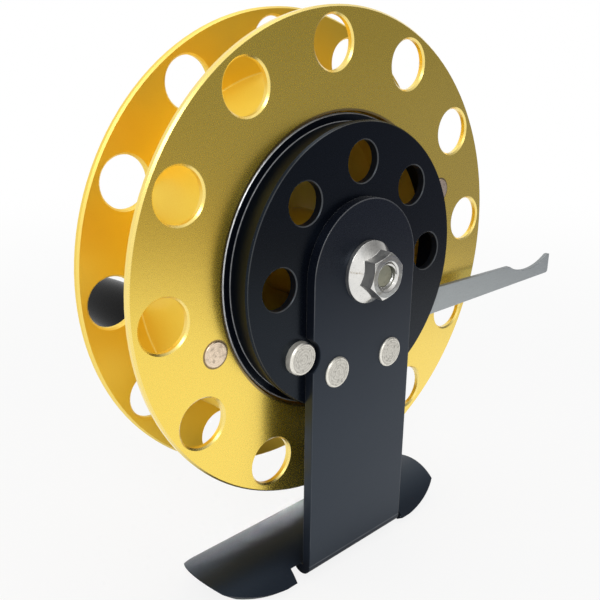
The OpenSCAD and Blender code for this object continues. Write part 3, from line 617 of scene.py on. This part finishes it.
def floor():
    """White where the camera looks at it; metal sees a white table that ends in a dim room."""
    radius, segments, drop = 3.0, 96, 0.1 * MM
    room_way = (0.75, -0.66, 0.0)
    table_end, cool_side = (0.12, 0.27), (0.12, 0.24)
    warm_dim, cool_dim = rgba(0.38, 0.30, 0.19), rgba(0.27, 0.27, 0.31)
    pale, shade_under = grey(0.8), grey(0.12)
    shade_stretch, shade_edge = (0.35, 1.0, 0.0), (0.007, 0.024)
    shadow_reach, shadow_level = (0.1, 0.45), 0.85
    build = bmesh.new()
    bmesh.ops.create_circle(build, cap_ends=True, segments=segments, radius=radius)
    obj = add_object("floor", mesh_of(build, "floor"))
    obj.location.z = CAD_BOX[0][2] - drop

    material = bpy.data.materials.new("floor")
    material.use_nodes = True
    t = Tree(material.node_tree)
    shader = t.tree.nodes["Principled BSDF"]
    shader.inputs["Roughness"].default_value = 0.9
    shader.inputs["Specular IOR Level"].default_value = 0.0
    camera_ray, seen = t.rays()
    place = t.node("ShaderNodeTexCoord").outputs["Object"]
    across = t.node("ShaderNodeSeparateXYZ", {0: place}).outputs[0]
    table = t.below(t.vector("DOT_PRODUCT", place, room_way), *table_end)
    dim = t.mix(t.ramp(across, *cool_side), warm_dim, cool_dim)
    glow_colour = t.mix(t.most(camera_ray, table), dim, grey(1.0))
    glow = t.node("ShaderNodeEmission", {"Color": glow_colour}).outputs[0]

    under = t.vector("LENGTH", t.vector("MULTIPLY", place, shade_stretch))
    direct = t.ramp(t.vector("LENGTH", place), *shadow_reach, shadow_level, 1.0)
    mirrored = t.ramp(under, *shade_edge)
    lit = t.most(t.minus(1.0, seen), camera_ray, mirrored)
    t.put(shader.inputs["Base Color"], t.mix(lit, shade_under, pale))
    share = t.times(seen, t.choose(camera_ray, mirrored, direct))
    both = t.node("ShaderNodeMixShader", {0: share, 1: shader.outputs[0], 2: glow}).outputs[0]
    t.put(t.tree.nodes["Material Output"].inputs[0], both)
    obj.data.materials.append(material)


def world():
    """White round the reel, with the darker room on the photographer's right."""
    room_way = Vector((0.70, -0.70, 0.05)).normalized()
    room_edge, room_level, light_level = (0.4, 0.9), 0.2, 0.62
    scene_world = bpy.data.worlds.new("studio")
    scene_world.use_nodes = True
    t = Tree(scene_world.node_tree)
    camera_ray, seen = t.rays()
    way = t.node("ShaderNodeTexCoord").outputs["Generated"]
    room = t.ramp(t.vector("DOT_PRODUCT", way, room_way), *room_edge, 1.0, room_level)
    background = t.tree.nodes["Background"].inputs
    background["Color"].default_value = grey(1.0)
    t.put(background["Strength"], t.choose(seen, light_level, t.most(camera_ray, room)))
    bpy.context.scene.world = scene_world


def camera():
    """The photograph's view, fitted to the circles and edges of the reel."""
    data = bpy.data.cameras.new("camera")
    data.sensor_width = 36
    data.lens = 45.516
    data.clip_start = 0.005
    data.clip_end = 10
    right = Vector((0.72859, -0.68486, 0.01135))
    up = Vector((0.21151, 0.24071, 0.94728))
    back = Vector((-0.65149, -0.68777, 0.32024))
    place = Matrix((right, up, back)).transposed().to_4x4()
    place.translation = Vector((-0.10433, -0.10260, 0.11077))
    obj = add_object("camera", data)
    obj.matrix_world = place
    bpy.context.scene.camera = obj


floor()
world()
lamp("key", place=(-0.35, -0.40, 0.50), size=0.30, power=1.0)
lamp("top", place=(0.10, 0.10, 0.75), size=0.45, power=0.8)
lamp("low", place=(0.45, 0.50, 0.034), size=0.03, power=0.0028, target=(-0.022, 0, 0), spread=6)
camera()
bpy.context.scene.view_settings.view_transform = "Standard"

bpy.context.view_layer.update()
